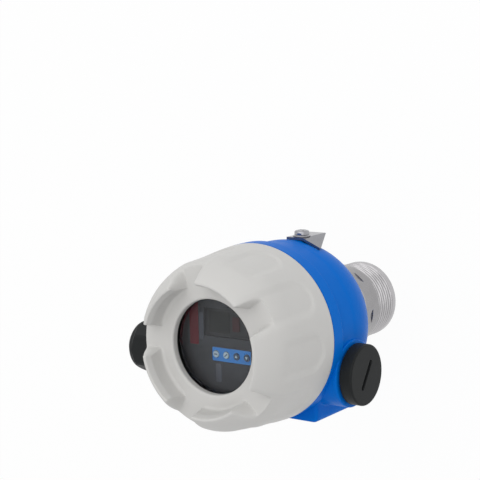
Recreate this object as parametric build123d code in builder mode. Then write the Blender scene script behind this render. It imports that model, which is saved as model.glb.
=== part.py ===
from build123d import *
from math import radians, sin, cos, sqrt, tan
import os

# Screw-in ultrasonic level sensor. Millimetres.
# Origin: the centre of the transducer face, the point that the sensor measures from.
# +Z runs up to the window cover. +X points at the blanked entry and -X at the cable entry.

# Clearances
press_gap = 0.1             # between close-fitting pieces that don't move apart
turn_gap = 0.3              # between a piece that turns and what it turns on
seat_gap = 0.1              # between flat faces that part when a piece is unscrewed

# Process connection
thread_diameter = 59.6
thread_length = 25.0
thread_chamfer = 1.0
collar_height = 14.0
collar_diameter = 63.5
collar_flats = 60.4
collar_chamfer = 0.8
neck_screw_diameter = 40.0
neck_screw_length = 15.0
neck_gasket_width = 6.5
neck_gasket_thickness = 1.0

# Transducer in the end of the neck
pocket_diameter = 50.0
pocket_roof = 4.0
cup_length = 20.0
cup_wall = 4.0
cup_floor = 2.5
seal_section = 2.6
seal_groove_height = 13.0
matching_thickness = 4.0
piezo_diameter = 34.0
piezo_thickness = 6.0
backing_thickness = 5.0
lead_diameter = 4.0
lead_channel = 10.0

# Housing
housing_height = 110.0
flange_diameter = 129.0
flange_height = 11.5
flange_step = 3.1             # from the flange in to the wall
belly_step = 0.4              # from the wall out to the belly of the bowl
rim_step = 6.0                # from the flange in to the rim neck
belly_drop = 33.0           # from the rim down to the small step in the wall
bowl_drop = 50.0            # from the rim down to where wall and cone would meet
bowl_radius = 48.0
bowl_straight = 1.0           # least stretch kept between the bowl's round and the step
boss_diameter = 54.0
boss_height = 8.0
housing_wall = 5.0
socket_floor = 5.0
rim_neck_height = 14.0
ledge_width = 6.0
ledge_drop = 49.0
ledge_least = 1.0            # straight stretch kept under the ledge

# Entries, side by side in front of the axis
entry_offset = 28.0
entry_drop = 27.6
entry_boss_diameter = 48.4
entry_thread_diameter = 32.0
plug_boss_proud = 1.6         # from the wall out to the boss face
gland_boss_proud = 30.6

# Nameplate block and its ear
block_share = 0.65            # of the flange diameter
block_height = 54.0
block_inset = 1.0             # from the flange in to the block's front
block_drop = 11.0
block_corner = 3.0
plate_margin = 4.8
plate_thickness = 0.6
ear_offset = 17.0
ear_width = 22.0
ear_thickness = 5.0
ear_setback = 1.0
ear_hole_drop = 8.0
ear_hole_diameter = 5.0

# Cover
cover_height = 71.5
cover_lean = 36.7
cover_taper = 2.7
cover_round = 49.4
crest_step = 17.0             # from the cover's foot in to the ring of lugs
crest_width = 4.5
bezel_drop = 16.3
bezel_width = 9.9
web_thickness = 5.2
cover_wall = 4.5
cover_bore_depth = 16.0
rim_gap = 0.5
flute_count = 10
flute_width = 24.0
flute_depth = 1.8
flute_foot = 11.5
notch_count = 5
notch_width = 19.0
notch_angle = 32.3

# Window
glass_overlap = 3.6
glass_thickness = 5.0
glass_chamfer = 0.4
glass_gasket_thickness = 0.8
ring_height = 3.0
ring_lip = 2.4
glass_seat_wall = 5.0

# Cover seal, a squeezed O-ring of nearly square section
oring_section = 2.6
oring_edge_radius = 0.65

# Blanking plug
plug_diameter = 43.6
plug_flange = 9.2
plug_edge_radius = 1.2
plug_shank_length = 12.0
plug_wall = 3.5
plug_slot_length = 27.0
plug_slot_width = 2.2
plug_slot_depth = 1.8
plug_slot_angle = 34.0
plug_gasket_width = 4.0
plug_gasket_thickness = 1.0

# Cable gland
gland_gasket_thickness = 1.5
gland_flange_diameter = 45.0
gland_flange_length = 9.0
gland_flange_flats = 43.0
gland_screw_diameter = 34.0
gland_screw_length = 16.0
gland_shank_length = 12.0
gland_bore_diameter = 25.0
gland_throat_diameter = 18.0
insert_length = 24.0
insert_wall = 5.0
nut_gap = 1.2
nut_length = 30.0
nut_flats = 39.0
nut_wall = 2.4
nut_dome = 9.0
nut_mouth_diameter = 17.0

# Outer ground terminal, on the far side from the nameplate
ground_x = 7.5
ground_drop = 49.0
ground_pad_inset = 1.0
ground_pad_length = 22.0
ground_pad_depth = 15.0
bracket_width = 13.5
bracket_edge = 8.2            # from the screw to the plain side
bracket_front = 8.0
bracket_length = 31.0
bracket_thickness = 1.8
bracket_fold_angle = 23.5
bracket_ear_reach = 15.5
bracket_corner = 2.0
washer_diameter = 12.4
washer_thickness = 1.2
screw_head_diameter = 11.0
screw_head_height = 3.4
screw_head_round = 1.6
screw_diameter = 5.0
screw_length = 9.0
driver_slot_length = 5.8
driver_slot_width = 1.1
driver_slot_depth = 1.2

# Cover lock screw
lock_screw_inset = 4.0        # from the side of the block
lock_screw_gap = 0.5          # from the flange to the screw's head
lock_head_diameter = 8.0
lock_head_height = 4.0
lock_head_chamfer = 0.5
lock_shank_diameter = 4.0
lock_shank_length = 12.0
lock_socket_flats = 3.0
lock_socket_depth = 2.2

# Electronics insert
insert_plate_thickness = 4.0
pillar_count = 3
pillar_diameter = 8.0
pillar_inset = 14.0           # from the middle of the ledge
pillar_angle = 30.0
board_thickness = 1.6
board_stand_off = 5.0
board_post_diameter = 6.0
board_gap = 2.0
display_drop = 7.9            # from the glass ring down to the display's face
display_overhang = 6.0        # beyond the middle of the pillars
display_height = 12.0
display_wall = 3.0
display_board_inset = 1.0
lcd_width = 42.0
lcd_height = 20.0
lcd_center_y = 12.5
lcd_thickness = 3.0
lcd_recess = 1.0
strip_width = 33.0
strip_height = 9.8
strip_center_x = 2.0
strip_center_y = -9.8
strip_thickness = 2.0
key_count = 4
key_pitch = 8.7
key_diameter = 4.8
key_length = 4.0
key_proud = 0.6
key_travel = 0.5
key_chamfer = 0.2
key_lip = 0.8
key_lip_height = 1.1
terminal_count = 5
terminal_pitch = 8.0
terminal_depth = 12.0
terminal_height = 14.0
terminal_inset = 13.0         # from the edge of the main board
terminal_screw_diameter = 5.0
terminal_screw_height = 5.0
terminal_screw_sink = 1.0
wire_port_width = 4.8
wire_port_height = 4.8
wire_port_depth = 6.0
wire_port_rise = 4.6
module_width = 34.0
module_depth = 22.0
module_height = 20.0
module_offset = 14.0
module_corner = 1.5
fixing_screw_diameter = 3.0
fixing_head_diameter = 6.0
fixing_head_height = 2.4

# Levels worked out from the sizes above
pocket_depth = thread_length - pocket_roof
collar_top = thread_length + collar_height
housing_base = collar_top + neck_gasket_thickness
rim_level = housing_base + housing_height
flange_radius = flange_diameter / 2
body_radius = flange_radius - flange_step
belly_radius = body_radius + belly_step
rim_neck_radius = flange_radius - rim_step
plug_side_reach = body_radius + plug_boss_proud
gland_side_reach = body_radius + gland_boss_proud
entry_level = rim_level - entry_drop
entry_y = -entry_offset
cover_base = rim_level + rim_gap
bezel_level = rim_level + cover_height - bezel_drop
glass_top = bezel_level - web_thickness - glass_gasket_thickness
glass_base = glass_top - glass_thickness
ring_base = glass_base - ring_height
cavity_radius = rim_neck_radius - housing_wall / 2
ledge_middle = cavity_radius - ledge_width / 2
ledge_level = rim_level - ledge_drop
plate_top = ledge_level + insert_plate_thickness
board_level = plate_top + board_stand_off
display_face = ring_base - display_drop
display_base = display_face - display_height
key_top = display_face + key_proud
key_foot = key_top - key_length

os.makedirs("parts", exist_ok=True)


def write(part, name):
    """Label one finished piece and write it as its own file."""
    part.label = name
    export_step(part, f"parts/{name}.step")


def entry_plane(reach, side):
    """Plane through an entry's axis: local x runs outward from the boss face, local y up."""
    return Plane(origin=(side * reach, entry_y, entry_level), x_dir=(side, 0, 0), z_dir=(0, -side, 0))


def entry_face(distance, side):
    """Plane square to an entry's axis, at a distance from the main axis, facing outward."""
    return Plane(origin=(side * distance, entry_y, entry_level), x_dir=(0, side, 0), z_dir=(side, 0, 0))


def radial_plane(heading, level):
    """Plane through the main axis, facing outward at a heading in degrees, with local y up."""
    across = (-sin(radians(heading)), cos(radians(heading)), 0)
    outward = (cos(radians(heading)), sin(radians(heading)), 0)
    return Plane(origin=(0, 0, level), x_dir=across, z_dir=outward)


entry_axis = Axis((0, entry_y, entry_level), (1, 0, 0))


# Process connection: collar with spanner flats, pipe thread, and a screw into the housing
with BuildPart() as process_neck:
    with BuildSketch(Plane.XZ):
        with BuildLine():
            Polyline(
                (lead_channel / 2, pocket_depth),
                (pocket_diameter / 2, pocket_depth),
                (pocket_diameter / 2, 0),
                (thread_diameter / 2 - thread_chamfer, 0),
                (thread_diameter / 2, thread_chamfer),
                (thread_diameter / 2, thread_length),
                (collar_diameter / 2 - collar_chamfer, thread_length),
                (collar_diameter / 2, thread_length + collar_chamfer),
                (collar_diameter / 2, collar_top - collar_chamfer),
                (collar_diameter / 2 - collar_chamfer, collar_top),
                (neck_screw_diameter / 2, collar_top),
                (neck_screw_diameter / 2, collar_top + neck_screw_length),
                (lead_channel / 2, collar_top + neck_screw_length),
                close=True,
            )
        make_face()
    revolve(axis=Axis.Z)
    with BuildSketch(Plane.XY.offset(thread_length)):
        Circle(collar_diameter)
        RegularPolygon(collar_flats / 2, 6, major_radius=False, mode=Mode.SUBTRACT)
    extrude(amount=collar_height, mode=Mode.SUBTRACT)
write(process_neck.part, "process_neck")

# Transducer: a cup with a thin floor, and the stack that sounds through it
cup_radius = pocket_diameter / 2 - press_gap
cup_inside = cup_radius - cup_wall
groove_radius = pocket_diameter / 2 - seal_section
with BuildPart() as transducer_cup:
    with BuildSketch(Plane.XZ):
        with BuildLine():
            Polyline(
                (0, 0),
                (cup_radius, 0),
                (cup_radius, seal_groove_height - seal_section / 2),
                (groove_radius, seal_groove_height - seal_section / 2),
                (groove_radius, seal_groove_height + seal_section / 2),
                (cup_radius, seal_groove_height + seal_section / 2),
                (cup_radius, cup_length),
                (cup_inside, cup_length),
                (cup_inside, cup_floor),
                (0, cup_floor),
                close=True,
            )
        make_face()
    revolve(axis=Axis.Z)
write(transducer_cup.part, "transducer_cup")

with BuildPart() as transducer_seal:
    with BuildSketch(Plane.XZ):
        with Locations((groove_radius + seal_section / 2, seal_groove_height)):
            Circle(seal_section / 2 - press_gap)
    revolve(axis=Axis.Z)
write(transducer_seal.part, "transducer_seal")

matching_base = cup_floor
piezo_base = matching_base + matching_thickness
backing_base = piezo_base + piezo_thickness
backing_top = backing_base + backing_thickness
with BuildPart() as matching_layer:
    with BuildSketch(Plane.XY.offset(matching_base)):
        Circle(cup_inside - press_gap)
    extrude(amount=matching_thickness)
write(matching_layer.part, "matching_layer")

with BuildPart() as piezo_disc:
    with BuildSketch(Plane.XY.offset(piezo_base)):
        Circle(piezo_diameter / 2)
    extrude(amount=piezo_thickness)
write(piezo_disc.part, "piezo_disc")

with BuildPart() as backing_block:
    with BuildSketch(Plane.XY.offset(backing_base)):
        Circle(cup_inside - press_gap)
    extrude(amount=backing_thickness)
write(backing_block.part, "backing_block")

with BuildPart() as transducer_lead:
    with BuildSketch(Plane.XY.offset(backing_top)):
        Circle(lead_diameter / 2)
    extrude(amount=board_level - backing_top)
write(transducer_lead.part, "transducer_lead")

with BuildPart() as neck_gasket:
    with BuildSketch(Plane.XY.offset(collar_top)):
        Circle(neck_screw_diameter / 2 + neck_gasket_width)
        Circle(neck_screw_diameter / 2 + press_gap, mode=Mode.SUBTRACT)
    extrude(amount=neck_gasket_thickness)
write(neck_gasket.part, "neck_gasket")

# Housing: a bowl with a rim neck for the cover, two entry bosses, the nameplate block and its ear
boss_radius = boss_diameter / 2
boss_top = housing_base + boss_height
cone_slope = (belly_radius - boss_radius) / (rim_level - bowl_drop - boss_top)
bowl_room = bowl_drop - belly_drop - bowl_straight
bowl_fillet = min(bowl_radius, bowl_room * cone_slope / (sqrt(1 + cone_slope**2) - 1))
socket_depth = neck_screw_length - neck_gasket_thickness + press_gap
bowl_floor = housing_base + socket_depth + socket_floor
bowl_inset = housing_wall * sqrt(1 + cone_slope**2)
bowl_floor_radius = boss_radius - bowl_inset + cone_slope * (bowl_floor - boss_top)
ledge_inside = cavity_radius - ledge_width
ledge_foot = min(ledge_level - ledge_least, bowl_floor + (ledge_inside - bowl_floor_radius) / cone_slope)
ground_level = belly_radius
ground_z = rim_level - ground_drop
plate_left = ground_x - bracket_edge
pad_middle = ground_z + bracket_front - ground_pad_inset - ground_pad_length / 2
block_width = flange_diameter * block_share
block_front = flange_radius - block_inset
block_top = rim_level - block_drop
block_base = block_top - block_height
block_back = sqrt(body_radius**2 - (block_width / 2) ** 2) - housing_wall
ear_level = block_base - ear_hole_drop
lock_level = block_top
lock_screw_x = block_width / 2 - lock_screw_inset
lock_reach = flange_radius + lock_head_diameter / 2 + lock_screw_gap
lock_screw_y = sqrt(lock_reach**2 - lock_screw_x**2)
with BuildPart() as housing:
    with BuildSketch(Plane.XZ):
        with BuildLine():
            FilletPolyline(
                (boss_radius, boss_top),
                (belly_radius, rim_level - bowl_drop),
                (belly_radius, rim_level - belly_drop),
                radius=bowl_fillet,
            )
            Polyline(
                (belly_radius, rim_level - belly_drop),
                (body_radius, rim_level - belly_drop),
                (body_radius, rim_level - flange_height),
                (flange_radius, rim_level - flange_height),
                (flange_radius, rim_level),
                (rim_neck_radius, rim_level),
                (rim_neck_radius, rim_level + rim_neck_height),
                (0, rim_level + rim_neck_height),
                (0, housing_base),
                (boss_radius, housing_base),
                (boss_radius, boss_top),
            )
        make_face()
    revolve(axis=Axis.Z)
    for side, reach in ((1, plug_side_reach), (-1, gland_side_reach)):
        with BuildSketch(entry_face(0, side)):
            Circle(entry_boss_diameter / 2)
        extrude(amount=reach)
    with BuildSketch(Plane.XY.offset(block_base)):
        with Locations((0, -(block_front + block_back) / 2)):
            Rectangle(block_width, block_front - block_back)
    extrude(amount=block_height)
    block_edges = housing.edges().filter_by(Axis.Z).group_by(Axis.Y)[0]
    fillet(block_edges, block_corner)
    with BuildSketch(Plane.XZ.offset(block_front - ear_setback)):
        with Locations((ear_offset, ear_level)):
            Circle(ear_width / 2)
            with Locations((0, ear_hole_drop)):
                Rectangle(ear_width, ear_hole_drop * 2)
            Circle(ear_hole_diameter / 2, mode=Mode.SUBTRACT)
    extrude(amount=-ear_thickness)
    with BuildSketch(Plane.XZ.offset(-ground_level)):
        with Locations((plate_left + bracket_width / 2, pad_middle)):
            Rectangle(bracket_width - ground_pad_inset * 2, ground_pad_length)
    extrude(amount=ground_pad_depth)
    with BuildSketch(Plane.XZ):
        with BuildLine():
            Polyline(
                (0, bowl_floor),
                (bowl_floor_radius, bowl_floor),
                (ledge_inside, ledge_foot),
                (ledge_inside, ledge_level),
                (cavity_radius, ledge_level),
                (cavity_radius, rim_level + rim_neck_height),
                (0, rim_level + rim_neck_height),
                close=True,
            )
        make_face()
    revolve(axis=Axis.Z, mode=Mode.SUBTRACT)
    with BuildSketch(Plane.XY.offset(housing_base)):
        Circle(neck_screw_diameter / 2 + press_gap)
    extrude(amount=socket_depth, mode=Mode.SUBTRACT)
    with BuildSketch(Plane.XY.offset(housing_base)):
        Circle(lead_channel / 2)
    extrude(amount=socket_depth + socket_floor, mode=Mode.SUBTRACT)
    for side, reach in ((1, plug_side_reach), (-1, gland_side_reach)):
        with BuildSketch(entry_face(0, side)):
            Circle(entry_thread_diameter / 2)
        extrude(amount=reach, mode=Mode.SUBTRACT)
    with BuildSketch(Plane.XZ.offset(-ground_level)):
        with Locations((ground_x, ground_z)):
            Circle(screw_diameter / 2)
    extrude(amount=screw_length - washer_thickness - bracket_thickness + press_gap, mode=Mode.SUBTRACT)
    with BuildSketch(Plane.XY.offset(lock_level)):
        with Locations((-lock_screw_x, -lock_screw_y)):
            Circle(lock_shank_diameter / 2)
    extrude(amount=-lock_shank_length - press_gap, mode=Mode.SUBTRACT)
write(housing.part, "housing")

# Cover: a round-shouldered cap with a castellated ring, flutes and the window opening
cover_radius = flange_radius
lean_level = rim_level + cover_lean
cover_mid_radius = cover_radius - cover_taper
shoulder_reach = cover_mid_radius - cover_round
crest_outer_radius = cover_radius - crest_step
crest_inner_radius = crest_outer_radius - crest_width
bore_radius = rim_neck_radius + turn_gap
window_radius = crest_inner_radius - bezel_width
glass_radius = window_radius + glass_overlap
seat_radius = glass_radius + press_gap
seat_outside = seat_radius + glass_seat_wall
web_base = bezel_level - web_thickness
inner_round = cover_round - cover_wall
inner_reach = shoulder_reach + inner_round
ceiling_reach = shoulder_reach + sqrt(inner_round**2 - (web_base - lean_level) ** 2)


def outer_skin(inset):
    """Half section of the cover's outer form, closed to the axis, drawn inset from the surface."""
    top = lean_level + sqrt((cover_round - inset) ** 2 - (crest_outer_radius - shoulder_reach) ** 2)
    with BuildSketch(Plane.XZ, mode=Mode.PRIVATE) as skin:
        with BuildLine():
            Polyline(
                (0, cover_base),
                (cover_radius - inset, cover_base),
                (cover_mid_radius - inset, lean_level),
            )
            RadiusArc(
                (cover_mid_radius - inset, lean_level),
                (crest_outer_radius, top),
                -(cover_round - inset),
            )
            Polyline((crest_outer_radius, top), (0, top), (0, cover_base))
        make_face()
    return skin.sketch


with BuildPart() as flute_cutter:
    for index in range(flute_count):
        heading = notch_angle + index * 360 / flute_count
        with BuildSketch(radial_plane(heading, cover_base)):
            with Locations((0, flute_foot + flute_width / 2)):
                Circle(flute_width / 2)
            with Locations((0, flute_foot + flute_width / 2 + cover_height / 2)):
                Rectangle(flute_width, cover_height)
        extrude(amount=cover_radius * 2)
    add(revolve(outer_skin(flute_depth), axis=Axis.Z, mode=Mode.PRIVATE), mode=Mode.SUBTRACT)

with BuildPart() as cover:
    add(outer_skin(0))
    revolve(axis=Axis.Z)
    add(flute_cutter.part, mode=Mode.SUBTRACT)
    with BuildSketch(Plane.XY.offset(bezel_level)):
        Circle(crest_inner_radius)
    extrude(amount=cover_height, mode=Mode.SUBTRACT)
    with BuildSketch(Plane.XY.offset(bezel_level)):
        with PolarLocations(crest_inner_radius, notch_count, start_angle=notch_angle):
            Rectangle(crest_inner_radius, notch_width)
    extrude(amount=cover_height, mode=Mode.SUBTRACT)
    with BuildSketch(Plane.XZ):
        with BuildLine():
            Polyline(
                (0, cover_base),
                (bore_radius, cover_base),
                (bore_radius, cover_base + cover_bore_depth),
                (inner_reach, cover_base + cover_bore_depth),
                (inner_reach, lean_level),
            )
            RadiusArc((inner_reach, lean_level), (ceiling_reach, web_base), -inner_round)
            Polyline(
                (ceiling_reach, web_base),
                (seat_outside, web_base),
                (seat_outside, ring_base),
                (0, ring_base),
                (0, cover_base),
            )
        make_face()
    revolve(axis=Axis.Z, mode=Mode.SUBTRACT)
    with BuildSketch(Plane.XY.offset(ring_base)):
        Circle(seat_radius)
    extrude(amount=web_base - ring_base, mode=Mode.SUBTRACT)
    with BuildSketch(Plane.XY.offset(ring_base)):
        Circle(window_radius)
    extrude(amount=cover_height, mode=Mode.SUBTRACT)
    with BuildSketch(Plane.XY.offset(cover_base)):
        Circle(bore_radius + oring_section)
    extrude(amount=oring_section + seat_gap, mode=Mode.SUBTRACT)
write(cover.part, "cover")

with BuildPart() as cover_seal:
    with BuildSketch(Plane.XY.offset(rim_level + seat_gap)):
        Circle(bore_radius + oring_section - turn_gap)
        Circle(bore_radius, mode=Mode.SUBTRACT)
    extrude(amount=oring_section)
    fillet(cover_seal.edges(), oring_edge_radius)
write(cover_seal.part, "cover_seal")

with BuildPart() as glass_gasket:
    with BuildSketch(Plane.XY.offset(glass_top)):
        Circle(glass_radius)
        Circle(window_radius, mode=Mode.SUBTRACT)
    extrude(amount=glass_gasket_thickness)
write(glass_gasket.part, "glass_gasket")

with BuildPart() as window_glass:
    with BuildSketch(Plane.XY.offset(glass_base)):
        Circle(glass_radius)
    extrude(amount=glass_thickness)
    chamfer(window_glass.edges(), glass_chamfer)
write(window_glass.part, "window_glass")

with BuildPart() as glass_ring:
    with BuildSketch(Plane.XY.offset(ring_base)):
        Circle(glass_radius)
        Circle(glass_radius - ring_lip, mode=Mode.SUBTRACT)
        with PolarLocations(glass_radius - ring_lip, 4):
            Circle(ring_lip / 2, mode=Mode.SUBTRACT)
    extrude(amount=ring_height)
write(glass_ring.part, "glass_ring")

# Blanking plug in the +X entry, with a coin slot, on a flat gasket
plug_back = plug_gasket_thickness + seat_gap * 2
entry_radius = entry_thread_diameter / 2
plug_radius = plug_diameter / 2
with BuildPart() as blanking_plug:
    with BuildSketch(entry_plane(plug_side_reach, 1)):
        with BuildLine():
            Polyline(
                (-plug_shank_length, entry_radius - turn_gap - plug_wall),
                (-plug_shank_length, entry_radius - turn_gap),
                (plug_back, entry_radius - turn_gap),
                (plug_back, plug_radius),
                (plug_back + plug_flange, plug_radius),
                (plug_back + plug_flange, 0),
                (plug_back, 0),
                (plug_back, entry_radius - turn_gap - plug_wall),
                close=True,
            )
        make_face()
    revolve(axis=entry_axis)
    fillet(blanking_plug.edges().group_by(Axis.X)[-1], plug_edge_radius)
    with BuildSketch(entry_face(plug_side_reach + plug_back + plug_flange, 1)):
        SlotOverall(plug_slot_length, plug_slot_width, rotation=-plug_slot_angle)
    extrude(amount=-plug_slot_depth, mode=Mode.SUBTRACT)
write(blanking_plug.part, "blanking_plug")

with BuildPart() as plug_gasket:
    with BuildSketch(entry_face(plug_side_reach + seat_gap, 1)):
        Circle(entry_radius + plug_gasket_width)
        Circle(entry_radius, mode=Mode.SUBTRACT)
    extrude(amount=plug_gasket_thickness)
write(plug_gasket.part, "plug_gasket")

# Cable gland in the -X entry: body, clamping insert and domed nut
gland_screw_end = gland_gasket_thickness + gland_flange_length + gland_screw_length
nut_base = gland_gasket_thickness + gland_flange_length + nut_gap
nut_inside = gland_screw_diameter / 2 + turn_gap
insert_end = nut_base + nut_length - nut_wall - turn_gap
insert_base = insert_end - insert_length
gland_bore = gland_bore_diameter / 2
with BuildPart() as gland_body:
    with BuildSketch(entry_plane(gland_side_reach, -1)):
        with BuildLine():
            Polyline(
                (-gland_shank_length, gland_throat_diameter / 2),
                (-gland_shank_length, entry_radius - press_gap),
                (gland_gasket_thickness, entry_radius - press_gap),
                (gland_gasket_thickness, gland_flange_diameter / 2),
                (gland_gasket_thickness + gland_flange_length, gland_flange_diameter / 2),
                (gland_gasket_thickness + gland_flange_length, gland_screw_diameter / 2),
                (gland_screw_end, gland_screw_diameter / 2),
                (gland_screw_end, gland_bore),
                (insert_base - turn_gap, gland_bore),
                (insert_base - turn_gap, gland_throat_diameter / 2),
                close=True,
            )
        make_face()
    revolve(axis=entry_axis)
    with BuildSketch(entry_face(gland_side_reach + gland_gasket_thickness, -1)):
        Circle(gland_flange_diameter)
        RegularPolygon(gland_flange_flats / 2, 6, major_radius=False, rotation=30, mode=Mode.SUBTRACT)
    extrude(amount=gland_flange_length, mode=Mode.SUBTRACT)
write(gland_body.part, "gland_body")

with BuildPart() as gland_gasket:
    with BuildSketch(entry_face(gland_side_reach, -1)):
        Circle(gland_flange_flats / 2)
        Circle(entry_radius, mode=Mode.SUBTRACT)
    extrude(amount=gland_gasket_thickness)
write(gland_gasket.part, "gland_gasket")

with BuildPart() as gland_insert:
    with BuildSketch(entry_plane(gland_side_reach, -1)):
        with BuildLine():
            Polyline(
                (insert_base, gland_bore - turn_gap - insert_wall),
                (insert_base, gland_bore - turn_gap),
                (gland_screw_end, gland_bore - turn_gap),
                (insert_end, nut_mouth_diameter / 2 + seat_gap),
                (insert_end, gland_bore - turn_gap - insert_wall),
                close=True,
            )
        make_face()
    revolve(axis=entry_axis)
write(gland_insert.part, "gland_insert")

with BuildPart() as gland_nut:
    with BuildSketch(entry_plane(gland_side_reach, -1)):
        with BuildLine():
            Polyline(
                (nut_base, nut_inside),
                (nut_base, nut_flats),
                (nut_base + nut_length - nut_dome, nut_flats),
                (nut_base + nut_length - nut_dome, nut_inside + nut_wall),
                (nut_base + nut_length, nut_mouth_diameter / 2 + nut_wall),
                (nut_base + nut_length, nut_mouth_diameter / 2),
                (insert_end + turn_gap, nut_mouth_diameter / 2),
                (insert_end + turn_gap, nut_mouth_diameter / 2 + seat_gap + turn_gap),
                (gland_screw_end + turn_gap, nut_inside),
                close=True,
            )
        make_face()
    revolve(axis=entry_axis)
    with BuildSketch(entry_face(gland_side_reach + nut_base, -1)):
        Circle(nut_flats * 2)
        RegularPolygon(nut_flats / 2, 6, major_radius=False, mode=Mode.SUBTRACT)
    extrude(amount=nut_length, mode=Mode.SUBTRACT)
write(gland_nut.part, "gland_nut")

# Outer ground terminal: a folded bracket under a pan-head screw and washer
plate_back = ground_z + bracket_front
fold = radians(bracket_fold_angle)
fold_edge = plate_left + bracket_width
miter = bracket_thickness * tan(fold / 2)
ear_end_x = fold_edge + bracket_ear_reach * cos(fold)
ear_end_y = ground_level - bracket_ear_reach * sin(fold)
with BuildPart() as ground_bracket:
    with BuildSketch(Plane.XY.offset(plate_back)):
        with BuildLine():
            Polyline(
                (plate_left, ground_level),
                (fold_edge, ground_level),
                (ear_end_x, ear_end_y),
                (ear_end_x + bracket_thickness * sin(fold), ear_end_y + bracket_thickness * cos(fold)),
                (fold_edge + miter, ground_level + bracket_thickness),
                (plate_left, ground_level + bracket_thickness),
                close=True,
            )
        make_face()
    extrude(amount=-bracket_length)
    with BuildSketch(Plane(origin=(fold_edge, ground_level, plate_back),
                           x_dir=(cos(fold), -sin(fold), 0), z_dir=(sin(fold), cos(fold), 0))):
        with BuildLine():
            Polyline(
                (miter, bracket_length),
                (bracket_ear_reach, bracket_corner),
                (bracket_ear_reach * 2, bracket_corner),
                (bracket_ear_reach * 2, bracket_length),
                close=True,
            )
        make_face()
    extrude(amount=bracket_thickness, both=True, mode=Mode.SUBTRACT)
    with BuildSketch(Plane.XZ.offset(-ground_level)):
        with Locations((ground_x, ground_z)):
            Circle(screw_diameter / 2 + press_gap)
    extrude(amount=-bracket_thickness, mode=Mode.SUBTRACT)
write(ground_bracket.part, "ground_bracket")

washer_level = ground_level + bracket_thickness
with BuildPart() as ground_washer:
    with BuildSketch(Plane.XZ.offset(-washer_level)):
        with Locations((ground_x, ground_z)):
            Circle(washer_diameter / 2)
            Circle(screw_diameter / 2 + press_gap, mode=Mode.SUBTRACT)
    extrude(amount=-washer_thickness)
write(ground_washer.part, "ground_washer")

head_level = washer_level + washer_thickness
with BuildPart() as ground_screw:
    with BuildSketch(Plane.XZ.offset(-head_level)):
        with Locations((ground_x, ground_z)):
            Circle(screw_head_diameter / 2)
    extrude(amount=-screw_head_height)
    fillet(ground_screw.edges().group_by(Axis.Y)[-1], screw_head_round)
    with BuildSketch(Plane.XZ.offset(-head_level)):
        with Locations((ground_x, ground_z)):
            Circle(screw_diameter / 2 - press_gap)
    extrude(amount=screw_length)
    with BuildSketch(Plane.XZ.offset(-head_level - screw_head_height)):
        with Locations((ground_x, ground_z)):
            Rectangle(driver_slot_length, driver_slot_width)
            Rectangle(driver_slot_width, driver_slot_length)
    extrude(amount=driver_slot_depth, mode=Mode.SUBTRACT)
write(ground_screw.part, "ground_screw")

# Nameplate, bare, and the screw that locks the cover
plate_width = block_width - plate_margin * 2
plate_height = block_height - plate_margin * 2
with BuildPart() as nameplate:
    with BuildSketch(Plane.XZ.offset(block_front)):
        with Locations((0, block_base + block_height / 2)):
            RectangleRounded(plate_width, plate_height, block_corner / 2)
    extrude(amount=plate_thickness)
write(nameplate.part, "nameplate")

with BuildPart() as lock_screw:
    with BuildSketch(Plane.XY.offset(lock_level)):
        with Locations((-lock_screw_x, -lock_screw_y)):
            Circle(lock_head_diameter / 2)
    extrude(amount=lock_head_height)
    chamfer(lock_screw.edges().group_by(Axis.Z)[-1], lock_head_chamfer)
    with BuildSketch(Plane.XY.offset(lock_level)):
        with Locations((-lock_screw_x, -lock_screw_y)):
            Circle(lock_shank_diameter / 2 - press_gap)
    extrude(amount=-lock_shank_length)
    with BuildSketch(Plane.XY.offset(lock_level + lock_head_height)):
        with Locations((-lock_screw_x, -lock_screw_y)):
            RegularPolygon(lock_socket_flats / 2, 6, major_radius=False)
    extrude(amount=-lock_socket_depth, mode=Mode.SUBTRACT)
write(lock_screw.part, "lock_screw")

# Electronics insert: a round plate on the housing's ledge, with three pillars under the display
pillar_radius = ledge_middle - pillar_inset
board_radius = pillar_radius - pillar_diameter / 2 - board_gap
terminal_offset = board_radius - terminal_inset
display_radius = pillar_radius + display_overhang
insert_radius = cavity_radius - turn_gap
board_top = board_level + board_thickness
display_board_level = display_base - board_thickness
with BuildPart() as insert_frame:
    with BuildSketch(Plane.XY.offset(ledge_level)):
        Circle(insert_radius)
        Circle(lead_diameter, mode=Mode.SUBTRACT)
        with PolarLocations(ledge_middle, pillar_count, start_angle=pillar_angle):
            Circle(fixing_screw_diameter / 2 + press_gap, mode=Mode.SUBTRACT)
    extrude(amount=insert_plate_thickness)
    with BuildSketch(Plane.XY.offset(plate_top)):
        with PolarLocations(pillar_radius, pillar_count, start_angle=pillar_angle):
            Circle(pillar_diameter / 2)
    extrude(amount=display_board_level - plate_top)
    with BuildSketch(Plane.XY.offset(plate_top)):
        with GridLocations(board_radius, board_radius, 2, 2):
            Circle(board_post_diameter / 2)
    extrude(amount=board_stand_off)
write(insert_frame.part, "insert_frame")

with BuildPart() as main_board:
    with BuildSketch(Plane.XY.offset(board_level)):
        Circle(board_radius)
    extrude(amount=board_thickness)
write(main_board.part, "main_board")

with BuildPart() as converter_module:
    with BuildSketch(Plane.XY.offset(board_top)):
        with Locations((0, module_offset)):
            RectangleRounded(module_width, module_depth, module_corner)
    extrude(amount=module_height)
write(converter_module.part, "converter_module")

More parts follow.
